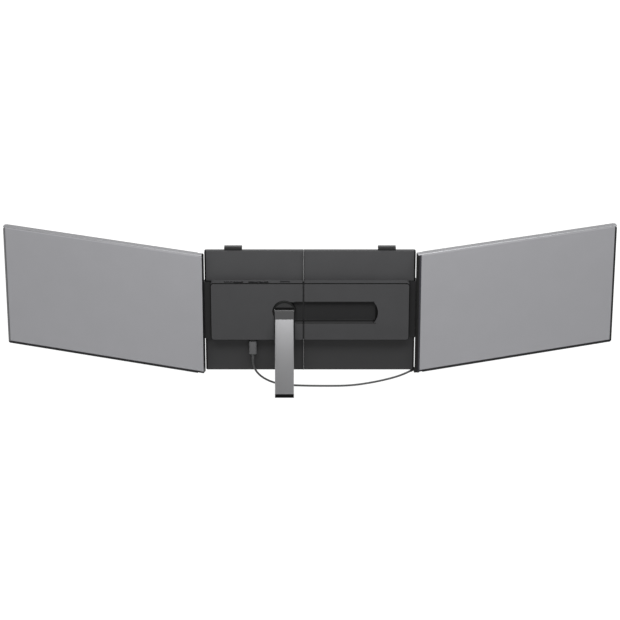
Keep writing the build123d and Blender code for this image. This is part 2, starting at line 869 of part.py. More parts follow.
# ---------------------------------------------------------------- cord

def plug_tip():
    """The metal tongue of the plug."""
    body = block(lower_port_x - tip_width / 2, lower_port_x + tip_width / 2, port_y - tip_height / 2,
                 port_y + tip_height / 2, plug_top, plug_top + tip_length)
    return fillet(body.edges().filter_by(Axis.Z), tip_height / 2 - fit / 2)


def plug_body():
    """The moulded grip of the plug."""
    body = block(lower_port_x - plug_width / 2, lower_port_x + plug_width / 2, port_y - plug_thickness / 2,
                 port_y + plug_thickness / 2, relief_top, plug_top)
    body = fillet(body.edges().filter_by(Axis.Z), plug_round)
    return chamfer(body.faces().sort_by(Axis.Z)[0].edges(), plug_chamfer)


def strain_relief():
    """The tapered sleeve under the plug."""
    cone = Cone(relief_end_radius, relief_top_radius, relief_length)
    return Pos(lower_port_x, port_y, (cord_top + relief_top) / 2) * cone


def cord_points():
    """The cord's route: straight down out of the relief, a hanging loop, up into the gland."""
    start = Vector(lower_port_x, port_y, cord_top)
    below = start - Vector(0, 0, cord_first_drop)
    end = Vector(*cord_end)
    return [start, below] + [Vector(*p) for p in cord_run] + [end + Vector(*p) for p in cord_rise] + [end]


def cord_radii(points):
    """The bend radius at each inner point: as large as its two runs allow."""
    radii = []
    for before, here, after in zip(points, points[1:], points[2:]):
        first, second = here - before, after - here
        turn = math.radians(first.get_angle(second))
        radii.append(bend_share * min(first.length, second.length) / math.tan(turn / 2))
    return radii


def cord():
    """The cord as a tube of straight runs and tangent arcs."""
    points = cord_points()
    radii = cord_radii(points)
    print("cord radii", [round(r, 1) for r in radii])
    print("cord runs", [round((b - a).length, 1) for a, b in zip(points, points[1:])])
    path = FilletPolyline(*points, radius=radii)
    start = Plane(origin=points[0], z_dir=points[1] - points[0])
    tube = sweep(start * Circle(cord_diameter / 2), path=path)
    section = math.pi * (cord_diameter / 2) ** 2
    ratio = tube.volume / (section * path.length)
    print("cord length", round(path.length, 1), "volume ratio", round(ratio, 3))
    return tube


def cord_gland():
    """The small block at the right half's lower corner that the cord goes into."""
    body = block(plate_half_span, plate_half_span + gland_width, plate_back, -gland_recess,
                 plate_bottom - gland_drop, plate_bottom + gland_rise)
    body = fillet(body.edges().filter_by(Axis.Y), gland_round)
    end = Vector(*cord_end)
    run = Vector(*cord_rise[-1]).normalized() * -1
    length = (plate_half_span + gland_width / 2 - end.X) / run.X
    centre = end + run * (length / 2)
    return body + Plane(origin=centre, z_dir=run) * Cylinder(gland_stub_radius, length)


# ---------------------------------------------------------------- write every node

def main():
    os.makedirs("parts", exist_ok=True)
    for side, name in ((-1, "left"), (1, "right")):
        save(backplate(side), f"{name}_backplate")
        save(front_cover(side), f"{name}_front_cover")
        save(Compound(children=lid_pads(side)), f"{name}_lid_pads")
        save(Compound(children=cover_screws(side)), f"{name}_cover_screws")
        save(housing(side), f"{name}_housing")
        save(Compound(children=arm_screws(side)), f"{name}_arm_screws")
        save(clip_slider(side), f"{name}_clip")
        save(clip_pad(side), f"{name}_clip_pad")
        save(clip_spring(side), f"{name}_clip_spring")
    save(mirrored(hinge_arm(left_axis_x, left_axis_y, left_neck_depth)), "left_hinge_arm")
    save(hinge_arm(right_axis_x, right_axis_y, right_neck_depth), "right_hinge_arm")
    save(mirrored(hinge_pin(left_axis_x, left_axis_y)), "left_hinge_pin")
    save(hinge_pin(right_axis_x, right_axis_y), "right_hinge_pin")
    save(Compound(children=slide_rails()), "slide_rails")
    save(Compound(children=rail_guides()), "rail_guides")
    save(inner_sleeve(), "inner_sleeve")
    save(main_board(), "main_board")
    save(Compound(children=port_shells()), "port_shells")
    save(lower_socket(), "lower_socket")
    save(menu_button(), "menu_button")
    save(button_switch(), "button_switch")
    save(swivel_disc(), "swivel_disc")
    save(swivel_washer(), "swivel_washer")
    save(swivel_screw(), "swivel_screw")
    save(tilt_pin(), "tilt_pin")
    save(leg_root(), "leg_root")
    save(leg_blade(), "leg_blade")
    save(rubber_foot(), "rubber_foot")
    left_place = Pos(left_axis_x, left_axis_y, 0) * Rot(0, 0, display_yaw)
    right_place = Pos(right_axis_x, right_axis_y, 0) * Rot(0, 0, display_yaw)
    save_display("left_display", left_glass_offset, 0.0, left_place, True)
    save_display("right_display", right_glass_offset, spine_strip, right_place, False)
    save(plug_tip(), "plug_tip")
    save(plug_body(), "plug_body")
    save(strain_relief(), "strain_relief")
    save(cord(), "cord")
    save(cord_gland(), "cord_gland")


main()
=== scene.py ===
import bmesh
import bpy
import json
import math
from mathutils import Matrix, Vector

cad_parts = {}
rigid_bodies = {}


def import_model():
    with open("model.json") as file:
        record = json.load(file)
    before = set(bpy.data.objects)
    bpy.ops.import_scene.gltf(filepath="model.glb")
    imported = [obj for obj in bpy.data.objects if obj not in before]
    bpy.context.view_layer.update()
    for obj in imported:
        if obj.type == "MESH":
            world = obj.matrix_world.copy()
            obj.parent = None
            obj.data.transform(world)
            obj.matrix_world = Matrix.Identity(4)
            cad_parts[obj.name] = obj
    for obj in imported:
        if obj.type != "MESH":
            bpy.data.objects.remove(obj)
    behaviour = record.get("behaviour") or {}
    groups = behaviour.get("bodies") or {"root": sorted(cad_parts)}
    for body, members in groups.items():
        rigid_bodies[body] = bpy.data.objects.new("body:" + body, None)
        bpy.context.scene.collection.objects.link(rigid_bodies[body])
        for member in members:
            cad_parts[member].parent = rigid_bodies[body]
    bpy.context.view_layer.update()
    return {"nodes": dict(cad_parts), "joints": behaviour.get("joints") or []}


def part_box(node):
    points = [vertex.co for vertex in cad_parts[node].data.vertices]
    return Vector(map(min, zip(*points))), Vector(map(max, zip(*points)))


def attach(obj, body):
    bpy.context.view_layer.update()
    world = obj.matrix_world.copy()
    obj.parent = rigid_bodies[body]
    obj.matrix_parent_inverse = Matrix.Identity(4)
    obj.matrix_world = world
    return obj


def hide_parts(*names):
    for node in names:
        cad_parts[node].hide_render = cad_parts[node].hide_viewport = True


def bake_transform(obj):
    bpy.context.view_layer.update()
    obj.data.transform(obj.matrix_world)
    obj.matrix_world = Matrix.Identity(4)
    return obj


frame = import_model()
nodes = frame["nodes"]
joints = {joint["name"]: joint for joint in frame["joints"]}


# the camera: a long lens, high up behind the unit
cameraView = {"target": Vector((0, 0, -0.0016)), "distance": 4.4, "rise": 26.34, "lens": 170.3,
              "sensor": 36, "farthest": 100}


def addCamera():
    rise = math.radians(cameraView["rise"])
    back = Vector((0, -math.cos(rise), math.sin(rise)))
    spot = cameraView["target"] + back * cameraView["distance"]
    bpy.ops.object.camera_add(location=spot, rotation=(math.pi / 2 - rise, 0, 0))
    camera = bpy.context.object
    camera.data.lens = cameraView["lens"]
    camera.data.sensor_width = cameraView["sensor"]
    camera.data.clip_end = cameraView["farthest"]
    bpy.context.scene.camera = camera


addCamera()
print("camera: placed")


# finishes: colours are linear, grain is how many specks lie along a metre, mottle and uneven are how much
# tone and roughness vary, and worn is how much an edge lightens
finishes = {
    "platePlastic": {"colour": (0.031, 0.031, 0.032), "rough": 0.55, "shine": 0.1, "grain": 2600,
                     "bump": 0.22, "mottle": 0.08, "worn": 0.5},
    "backPlastic": {"colour": (0.031, 0.031, 0.032), "rough": 0.55, "shine": 0.1, "grain": 2600,
                    "bump": 0.22, "mottle": 0.08, "worn": 0.5},
    "housingPlastic": {"colour": (0.029, 0.029, 0.030), "rough": 0.52, "shine": 0.1, "grain": 2600,
                       "bump": 0.22, "mottle": 0.08, "worn": 0.4},
    "blackPlastic": {"colour": (0.006, 0.006, 0.0065), "rough": 0.42, "shine": 0.2, "grain": 3200,
                     "bump": 0.15, "mottle": 0.1, "worn": 0.3},
    # a copy of blackPlastic for the left display's rim, whose outer side is lightened as painted light
    "leftRimPaintedLight": {"colour": (0.006, 0.006, 0.0065), "rough": 0.42, "shine": 0.2, "grain": 3200,
                "bump": 0.15, "mottle": 0.1, "worn": 0.3},
    "spinePlastic": {"colour": (0.013, 0.013, 0.017), "rough": 0.45, "shine": 0.25, "grain": 3200,
                     "bump": 0.15, "mottle": 0.1, "worn": 0.3},
    "armMetal": {"colour": (0.004, 0.004, 0.0043), "rough": 0.4, "shine": 0.2, "grain": 3600,
                 "bump": 0.12, "mottle": 0.1, "worn": 0.3},
    "coverSilver": {"colour": (0.249, 0.249, 0.260), "rough": 0.46, "uneven": 0.03, "metal": 0.75,
                    "grain": 3800, "bump": 0.1, "mottle": 0.03, "worn": 0.25},
    "legSilver": {"colour": (0.27, 0.27, 0.276), "rough": 0.22, "uneven": 0.05, "metal": 0.95,
                  "grain": 2400, "bump": 0.03, "mottle": 0.04, "worn": 0.2, "stretch": (1, 1, 0.03),
                  "turn": 15},
    "rootPlastic": {"colour": (0.027, 0.027, 0.0276), "rough": 0.45, "shine": 0.25, "grain": 3000,
                    "bump": 0.12, "mottle": 0.08, "worn": 0.7},
    # near-black disc: round the inlay it shows as a dark ring, painted shade where a shadowed groove would
    # be
    "discDark": {"colour": (0.004, 0.004, 0.004), "rough": 0.4, "shine": 0.1, "grain": 3400, "bump": 0.1,
                 "mottle": 0.08, "worn": 0.4},
    "inlayDark": {"colour": (0.012, 0.012, 0.0123), "rough": 0.5, "shine": 0.2, "grain": 3000,
                  "bump": 0.12, "mottle": 0.08, "worn": 0.4},
    "pinSteel": {"colour": (0.42, 0.42, 0.43), "rough": 0.28, "metal": 1.0, "grain": 2600, "bump": 0.06,
                 "mottle": 0.06, "worn": 0.1},
    "screwSteel": {"colour": (0.04, 0.04, 0.042), "rough": 0.3, "metal": 0.8, "grain": 3000, "bump": 0.08,
                   "mottle": 0.1, "worn": 0.6},
    "socketSteel": {"colour": (0.05, 0.05, 0.052), "rough": 0.35, "metal": 0.9, "grain": 2800,
                    "bump": 0.06, "mottle": 0.06, "worn": 0.3},
    "plugSteel": {"colour": (0.4, 0.4, 0.41), "rough": 0.28, "metal": 1.0, "grain": 2800, "bump": 0.06,
                  "mottle": 0.06, "worn": 0.1},
    "contactGold": {"colour": (0.4, 0.27, 0.09), "rough": 0.3, "metal": 1.0, "grain": 3000, "bump": 0.05,
                    "mottle": 0.08, "worn": 0.1},
    "boardGreen": {"colour": (0.01, 0.06, 0.025), "rough": 0.35, "grain": 900, "bump": 0.1, "mottle": 0.3,
                   "worn": 0.1},
    # light grey: painted light seen through the seam between the halves
    "gasketPaintedLight": {"colour": (0.09, 0.09, 0.09), "rough": 0.8, "shine": 0.2, "grain": 1800, "bump": 0.2,
                     "mottle": 0.12, "worn": 0.1},
    "padRubber": {"colour": (0.012, 0.012, 0.012), "rough": 0.78, "shine": 0.25, "grain": 1800,
                  "bump": 0.3, "mottle": 0.15, "worn": 0.2},
    "footRubber": {"colour": (0.003, 0.003, 0.003), "rough": 0.7, "shine": 0.03, "grain": 1800,
                   "bump": 0.3, "mottle": 0.15, "worn": 0.2},
    "clipDark": {"colour": (0.008, 0.008, 0.0085), "rough": 0.45, "shine": 0.3, "grain": 3000,
                 "bump": 0.12, "mottle": 0.1, "worn": 0.3},
    "plugPlastic": {"colour": (0.048, 0.048, 0.0495), "rough": 0.42, "shine": 0.3, "grain": 3000,
                    "bump": 0.15, "mottle": 0.1, "worn": 0.3},
    "jacket": {"colour": (0.028, 0.028, 0.0286), "rough": 0.48, "shine": 0.3, "grain": 2200, "bump": 0.15,
               "mottle": 0.1, "worn": 0.1},
    "panelModule": {"colour": (0.05, 0.05, 0.052), "rough": 0.4, "metal": 0.6, "grain": 1500,
                    "bump": 0.08, "mottle": 0.15, "worn": 0.2},
    "glassBorder": {"colour": (0.003, 0.003, 0.0035), "rough": 0.08, "grain": 300, "bump": 0.01,
                    "mottle": 0.05, "coat": 0.6, "worn": 0.1},
    "glassActive": {"colour": (0.0075, 0.008, 0.0105), "rough": 0.13, "grain": 300, "bump": 0.01,
                    "mottle": 0.05, "coat": 0.4, "worn": 0.1},
}

# where a finish changes its colour and roughness, as ranges along the unit's own axes, later ones over
# earlier ones. Painted shade: the plates below the housing, where its shadow falls, a line round the
# housing's back, the stowing slot's creases, lips and round end, the inner edge of the right spine, the
# hooks' rear and the covers' top edge. Also darker: the plates' outer ends, the stowing slot with the
# pocket and its channel, the root's joint with the blade and the left cover's inner edge. Painted light:
# the hooks' tops, in two steps towards the lid, the left rim's outer side and a light line below the
# covers' top edge
# near-black: painted shade in lines, creases and gaps, and also the plates' outer ends and the left
# cover's inner edge
deepDark = (0.002, 0.002, 0.002, 1)
slotDark = (0.010, 0.010, 0.0103, 1)
paintedPlaces = {
    # the plates: darker below the housing as painted shade of its shadow, and near-black at their outer
    # ends
    "backPlastic": [{"z": (-0.2, -0.0437), "colour": (0.022, 0.022, 0.0225, 1), "rough": 0.55},
                    {"x": (-0.2, -0.1547), "colour": deepDark, "rough": 0.9},
                    {"x": (0.1547, 0.2), "colour": deepDark, "rough": 0.9}],
    # painted shade: a near-black line round the housing's back edge, where a shaded groove shows
    "housingPlastic": [{"y": (-0.01797, -0.0166), "colour": deepDark, "rough": 1.0},
                       {"x": (-0.0560, 0.1060), "y": (-0.01797, 0), "z": (-0.0152, 0.0224),
                        "colour": slotDark, "rough": 0.9},
                       # painted shade along the slot's top inside, where the rim's shadow falls
                       {"x": (-0.0560, 0.1060), "y": (-0.01797, 0), "z": (0.0190, 0.0224),
                        "colour": (0.005, 0.005, 0.005, 1), "rough": 0.9},
                       # painted shade in the crease where the slot's floor meets its lower slope
                       {"x": (-0.0560, 0.1060), "y": (-0.0160, 0), "z": (-0.0129, -0.0112),
                        "colour": deepDark, "rough": 0.9},
                       # painted shade on the face along the slot's upper lip
                       {"x": (-0.0230, 0.0960), "y": (-0.0185, -0.0179), "z": (0.0198, 0.0213),
                        "colour": (0.008, 0.008, 0.008, 1), "rough": 0.8},
                       # painted shade on the face below the slot, standing in for a wider lower slope
                       {"x": (-0.0210, 0.0990), "y": (-0.0185, -0.0170), "z": (-0.0158, -0.0140),
                        "colour": (0.014, 0.014, 0.014, 1), "rough": 0.8},
                       # painted shadow at the slot's round end
                       {"x": (0.0975, 0.1060), "y": (-0.01797, 0), "z": (-0.0152, 0.0224),
                        "colour": deepDark, "rough": 0.9},
                       {"x": (-0.0545, -0.0225), "y": (-0.01797, 0), "z": (-0.2, 0),
                        "colour": slotDark, "rough": 0.9}],
    "rootPlastic": [{"z": (-0.2, -0.0070), "colour": (0.012, 0.012, 0.0122, 1), "rough": 0.8}],
    # painted shade: the right spine's inner part near-black, as the shaded gap beside the arm
    "spinePlastic": [{"x": (0.0, 0.1627), "colour": deepDark, "rough": 0.9}],
    # the covers: a painted highlight line below a top edge darkened as painted shade; the left cover's
    # inner edge near-black
    "coverSilver": [{"z": (0.0955, 0.0972), "colour": (0.30, 0.30, 0.311, 1), "rough": 0.46},
                    {"z": (0.0972, 0.2), "colour": (0.215, 0.215, 0.223, 1), "rough": 0.55},
                    {"x": (-0.1604, 0.0), "colour": deepDark, "rough": 0.9}],
    # painted highlight on the hooks' tops, lighter in two steps towards the lid, and painted shade on
    # their rear
    "clipDark": [{"y": (0.0062, 0.02), "colour": (0.12, 0.12, 0.122, 1), "rough": 0.4},
                 {"y": (0.0042, 0.0062), "colour": (0.045, 0.045, 0.0455, 1), "rough": 0.45},
                 {"y": (-0.02, 0.0010), "colour": deepDark, "rough": 0.9}],
    # painted light: the left rim's outer side lightened where it faces the lamps
    "leftRimPaintedLight": [{"x": (-0.5, -0.4600), "z": (-0.0955, 0.2), "colour": (0.10, 0.10, 0.102, 1),
                 "rough": 0.5}],
}

# what all finishes share: noises, the tone and roughness they give, edge wear, bump height and coat
finishBasics = {"grainDetail": 2, "cloudScale": 28, "cloudDetail": 4, "toneRange": (0.6, 1.4),
                "cloudRange": (0.3, 0.7), "edgeRadius": 0.0003, "edgeSamples": 4, "edgeRange": (1.0, 0.8),
                "wornGain": 1.8, "wornLift": 0.004, "bumpHeight": 0.0001, "coatRough": 0.04,
                "shine": 0.5, "uneven": 0.1}


def addNode(tree, kind, **settings):
    node = tree.nodes.new(kind)
    for name, value in settings.items():
        if hasattr(node, name):
            setattr(node, name, value)
        else:
            node.inputs[name].default_value = value
    return node


def mathNode(tree, operation, first, second):
    node = tree.nodes.new("ShaderNodeMath")
    node.operation = operation
    for socket, value in zip(node.inputs, (first, second)):
        if isinstance(value, (int, float)):
            socket.default_value = value
        else:
            tree.links.new(value, socket)
    return node.outputs[0]


def mixColour(tree, factor, first, second):
    node = tree.nodes.new("ShaderNodeMix")
    node.data_type = "RGBA"
    tree.links.new(factor, node.inputs["Factor"])
    for name, value in (("A", first), ("B", second)):
        socket = [s for s in node.inputs if s.name == name and s.type == "RGBA"][0]
        if isinstance(value, tuple):
            socket.default_value = value
        else:
            tree.links.new(value, socket)
    return [s for s in node.outputs if s.type == "RGBA"][0]


def mapRange(tree, value, source, target):
    node = tree.nodes.new("ShaderNodeMapRange")
    for name, level in zip(("From Min", "From Max", "To Min", "To Max"), (*source, *target)):
        node.inputs[name].default_value = level
    tree.links.new(value, node.inputs["Value"])
    return node.outputs["Result"]


def makeFinish(name, spec):
    material = bpy.data.materials.new(name)
    material.use_nodes = True
    tree = material.node_tree
    shader = tree.nodes["Principled BSDF"]
    shader.inputs["Metallic"].default_value = spec.get("metal", 0.0)
    shader.inputs["Specular IOR Level"].default_value = spec.get("shine", finishBasics["shine"])
    shader.inputs["Coat Weight"].default_value = spec.get("coat", 0.0)
    shader.inputs["Coat Roughness"].default_value = finishBasics["coatRough"]
    place = tree.nodes.new("ShaderNodeTexCoord")
    mapping = addNode(tree, "ShaderNodeMapping", Scale=spec.get("stretch", (1, 1, 1)),
                      Rotation=(math.radians(spec.get("turn", 0)), 0, 0))
    tree.links.new(place.outputs["Object"], mapping.inputs["Vector"])
    grain = addNode(tree, "ShaderNodeTexNoise", Scale=spec["grain"], Detail=finishBasics["grainDetail"])
    cloud = addNode(tree, "ShaderNodeTexNoise", Scale=finishBasics["cloudScale"],
                    Detail=finishBasics["cloudDetail"])
    tree.links.new(mapping.outputs["Vector"], grain.inputs["Vector"])
    tree.links.new(mapping.outputs["Vector"], cloud.inputs["Vector"])
    both = mathNode(tree, "ADD", grain.outputs["Fac"], cloud.outputs["Fac"])
    # both noises sit near a half, so their sum sits near one
    tone = mapRange(tree, both, finishBasics["toneRange"], (0, 1))
    darker = (*[c * (1 - spec["mottle"]) for c in spec["colour"]], 1)
    lighter = (*[c * (1 + spec["mottle"]) for c in spec["colour"]], 1)
    colour = mixColour(tree, tone, darker, lighter)
    soften = addNode(tree, "ShaderNodeBevel", samples=finishBasics["edgeSamples"],
                     Radius=finishBasics["edgeRadius"])
    # an edge shows where the softened normal leaves the face's own
    surface = tree.nodes.new("ShaderNodeNewGeometry")
    match = tree.nodes.new("ShaderNodeVectorMath")
    match.operation = "DOT_PRODUCT"
    tree.links.new(soften.outputs["Normal"], match.inputs[0])
    tree.links.new(surface.outputs["Normal"], match.inputs[1])
    edge = mapRange(tree, match.outputs["Value"], finishBasics["edgeRange"], (0, spec["worn"]))
    gain, lift = finishBasics["wornGain"], finishBasics["wornLift"]
    worn = (*[min(c * gain + lift, 1.0) for c in spec["colour"]], 1)
    colour = mixColour(tree, edge, colour, worn)
    tree.links.new(colour, shader.inputs["Base Color"])
    uneven = spec.get("uneven", finishBasics["uneven"])
    dull = mapRange(tree, cloud.outputs["Fac"], finishBasics["cloudRange"],
                    (spec["rough"] * (1 - uneven), spec["rough"] * (1 + uneven)))
    tree.links.new(dull, shader.inputs["Roughness"])
    bump = addNode(tree, "ShaderNodeBump", Strength=spec["bump"], Distance=finishBasics["bumpHeight"])
    tree.links.new(grain.outputs["Fac"], bump.inputs["Height"])
    tree.links.new(soften.outputs["Normal"], bump.inputs["Normal"])
    tree.links.new(bump.outputs["Normal"], shader.inputs["Normal"])
    return material


def between(tree, value, low, high):
    return mathNode(tree, "MULTIPLY", mathNode(tree, "GREATER_THAN", value, low),
                    mathNode(tree, "LESS_THAN", value, high))


def paintPlaces(material, places):
    tree = material.node_tree
    base, dull = [tree.nodes["Principled BSDF"].inputs[name] for name in ("Base Color", "Roughness")]
    colour, rough = base.links[0].from_socket, dull.links[0].from_socket
    spot = tree.nodes.new("ShaderNodeTexCoord")
    split = tree.nodes.new("ShaderNodeSeparateXYZ")
    tree.links.new(spot.outputs["Object"], split.inputs["Vector"])
    for place in places:
        mask = 1.0
        for axis in (axis for axis in "xyz" if axis in place):
            inside = between(tree, split.outputs[axis.upper()], *place[axis])
            mask = mathNode(tree, "MULTIPLY", inside, mask)
        colour = mixColour(tree, mask, colour, place["colour"])
        change = mathNode(tree, "MULTIPLY", mathNode(tree, "SUBTRACT", place["rough"], rough), mask)
        rough = mathNode(tree, "ADD", rough, change)
    tree.links.new(colour, base)
    tree.links.new(rough, dull)


materials = {name: makeFinish(name, spec) for name, spec in finishes.items()}
for name, places in paintedPlaces.items():
    paintPlaces(materials[name], places)
print("finishes:", len(materials))


# modelling: how faces and edges are picked, and how a finished piece is shaded
aligned = 0.9       # a normal or an edge points along an axis above this
across = 0.5        # and across it below this
within = 0.9        # share of a cut's half width that a picked face's middle lies in
near = 1e-5         # places closer than this, in metres, are the same
smoothAngle = 35    # faces that meet at less than this, in degrees, shade as one


def deselect():
    bpy.ops.object.select_all(action="DESELECT")


def onlyActive(piece):
    deselect()
    piece.select_set(True)
    bpy.context.view_layer.objects.active = piece


def nameIt(name):
    piece = bpy.context.object
    piece.name = name
    piece.data.name = name
    return piece


def startBox(name, low, high):
    deselect()
    low, high = Vector(low), Vector(high)
    bpy.ops.mesh.primitive_cube_add(size=1, location=(low + high) / 2)
    piece = nameIt(name)
    piece.scale = high - low
    bpy.ops.object.transform_apply(location=True, rotation=True, scale=True)
    return piece


def startDisc(name, centre, radius, depth, axis, sides=32):
    deselect()
    turn = {0: (0, math.pi / 2, 0), 1: (math.pi / 2, 0, 0), 2: (0, 0, 0)}[axis]
    bpy.ops.mesh.primitive_cylinder_add(vertices=sides, radius=radius, depth=depth, location=centre,
                                        rotation=turn)
    piece = nameIt(name)
    bpy.ops.object.transform_apply(location=True, rotation=True, scale=True)
    return piece


def edit(piece):
    onlyActive(piece)
    bpy.ops.object.mode_set(mode="EDIT")


def leave():
    bpy.ops.object.mode_set(mode="OBJECT")


def pickFaces(piece, test):
    bpy.ops.mesh.select_mode(type="FACE")
    bpy.ops.mesh.select_all(action="DESELECT")
    mesh = bmesh.from_edit_mesh(piece.data)
    for face in mesh.faces:
        face.select_set(test(face.calc_center_median(), face.normal))
    bmesh.update_edit_mesh(piece.data)


def pickEdges(piece, test):
    bpy.ops.mesh.select_mode(type="EDGE")
    bpy.ops.mesh.select_all(action="DESELECT")
    mesh = bmesh.from_edit_mesh(piece.data)
    for side in mesh.edges:
        ends = [vert.co for vert in side.verts]
        side.select_set(test((ends[0] + ends[1]) / 2, (ends[1] - ends[0]).normalized()))
    bmesh.update_edit_mesh(piece.data)


def cutAcross(axis, levels):
    for level in levels:
        spot, normal = Vector((0, 0, 0)), Vector((0, 0, 0))
        spot[axis] = level
        normal[axis] = 1
        bpy.ops.mesh.select_all(action="SELECT")
        bpy.ops.mesh.bisect(plane_co=spot, plane_no=normal)


def sink(depth):
    bpy.ops.mesh.extrude_region_shrink_fatten(
        TRANSFORM_OT_shrink_fatten={"value": -depth, "use_even_offset": True})


def channels(piece, axis, levels, width, depth, keep):
    # straight channels across a piece in edit mode, cut into the faces that keep accepts
    cutAcross(axis, [level + half for level in levels for half in (-width / 2, width / 2)])
    pickFaces(piece, lambda spot, normal: keep(spot, normal)
              and any(abs(spot[axis] - level) < width / 2 * within for level in levels))
    sink(depth)


def softenEdges(piece, width, segments=2, angle=40):
    onlyActive(piece)
    bevel = piece.modifiers.new("edges", "BEVEL")
    bevel.width = width
    bevel.segments = segments
    bevel.limit_method = "ANGLE"
    bevel.angle_limit = math.radians(angle)
    bpy.ops.object.modifier_apply(modifier=bevel.name)


def finishPiece(piece, finish, body, replaced=()):
    edit(piece)
    bpy.ops.mesh.select_all(action="SELECT")
    bpy.ops.mesh.normals_make_consistent(inside=False)
    leave()
    bpy.ops.object.shade_smooth_by_angle(angle=math.radians(smoothAngle))
    if not piece.data.materials:
        piece.data.materials.append(materials[finish])
    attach(piece, body)
    if replaced:
        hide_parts(*replaced)
    return piece


def copyOf(piece, name, shift):
    twin = piece.copy()
    twin.data = piece.data.copy()
    twin.name = name
    twin.data.name = name
    twin.data.transform(Matrix.Translation(shift))
    bpy.context.collection.objects.link(twin)
    return twin


def joinAll(pieces, name):
    deselect()
    for piece in pieces:
        piece.select_set(True)
    bpy.context.view_layer.objects.active = pieces[0]
    bpy.ops.object.join()
    return nameIt(name)


def spansAlong(node, axis):
    # where a node's separate solids lie along one axis
    mesh = nodes[node].data
    spans = []
    for face in mesh.polygons:
        along = [mesh.vertices[i].co[axis] for i in face.vertices]
        spans.append([min(along), max(along)])
    merged = []
    for low, high in sorted(spans):
        if merged and low <= merged[-1][1] + near:
            merged[-1][1] = max(high, merged[-1][1])
        else:
            merged.append([low, high])
    return merged


def cornersOf(points):
    low = Vector([min(point[i] for point in points) for i in range(3)])
    high = Vector([max(point[i] for point in points) for i in range(3)])
    return low, high


def boxWithin(node, axis, span):
    return cornersOf([v.co for v in nodes[node].data.vertices
                      if span[0] - near <= v.co[axis] <= span[1] + near])


def localBox(node, pivot, turn):
    # a node's box along turned axes whose origin is the pivot
    back = turn.inverted()
    return cornersOf([back @ (v.co - pivot) for v in nodes[node].data.vertices])


def standAt(piece, pivot, turn):
    onlyActive(piece)
    piece.matrix_world = Matrix.Translation(pivot) @ turn.to_4x4()
    bpy.ops.object.transform_apply(location=True, rotation=True, scale=True)


def rowOf(middle, count, step):
    return [middle + (i - (count - 1) / 2) * step for i in range(count)]


# the cord: from the hub's plug, hanging below the unit, to the right half's corner
cordParts = {"diameter": 0.003, "length": 0.2614, "order": 3, "steps": 10, "roundness": 4}
cordRoute = [
    (-0.0860, -0.0123, -0.0824), (-0.0853, -0.0123, -0.0914), (-0.0775, -0.0127, -0.1043),
    (-0.0640, -0.0131, -0.1140), (-0.0450, -0.0133, -0.1207), (-0.0170, -0.0133, -0.1226),
    (0.0200, -0.0145, -0.1226), (0.0620, -0.0160, -0.1214), (0.0990, -0.0126, -0.1168),
    (0.1250, -0.0085, -0.1120), (0.1410, -0.0056, -0.1077), (0.1518, -0.0035, -0.1029),
]


def addCord():
    curve = bpy.data.curves.new("hubCord", "CURVE")
    curve.dimensions = "3D"
    spline = curve.splines.new("NURBS")
    spline.points.add(len(cordRoute) - 1)
    for spot, point in zip(spline.points, cordRoute):
        spot.co = (*point, 1)
    spline.order_u = cordParts["order"]
    spline.use_endpoint_u = True
    spline.resolution_u = cordParts["steps"]
    tube = bpy.data.objects.new("hubCord", curve)
    bpy.context.collection.objects.link(tube)
    line = bpy.data.meshes.new_from_object(tube)
    path = [v.co.copy() for v in line.vertices]
    bpy.data.meshes.remove(line)
    curve.bevel_depth = cordParts["diameter"] / 2
    curve.bevel_resolution = cordParts["roundness"]
    curve.use_fill_caps = True
    onlyActive(tube)
    bpy.ops.object.convert(target="MESH")
    tube = nameIt("hubCord")
    tube.data.materials.clear()
    tube.data.materials.append(materials["jacket"])
    edit(tube)
    bpy.ops.mesh.select_all(action="SELECT")
    bpy.ops.mesh.remove_doubles(threshold=near)
    bpy.ops.mesh.normals_make_consistent(inside=False)
    leave()
    bpy.ops.object.shade_smooth_by_angle(angle=math.radians(smoothAngle))
    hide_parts("cord")
    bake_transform(tube)
    return tube, path


hubCord, cordPath = addCord()

plugParts = {"collar": 0.0034, "collarInset": 0.0012, "collarBlack": 0.95, "slim": 0.0003, "edge": 0.0026,
             "mouth": 0.0009, "ribs": 5, "ribWidth": 0.0011, "ribStep": 0.0022, "ribDepth": 0.00035,
             "toFirstRib": 0.005, "ribsFromMiddle": 0.36, "soft": 0.00012}


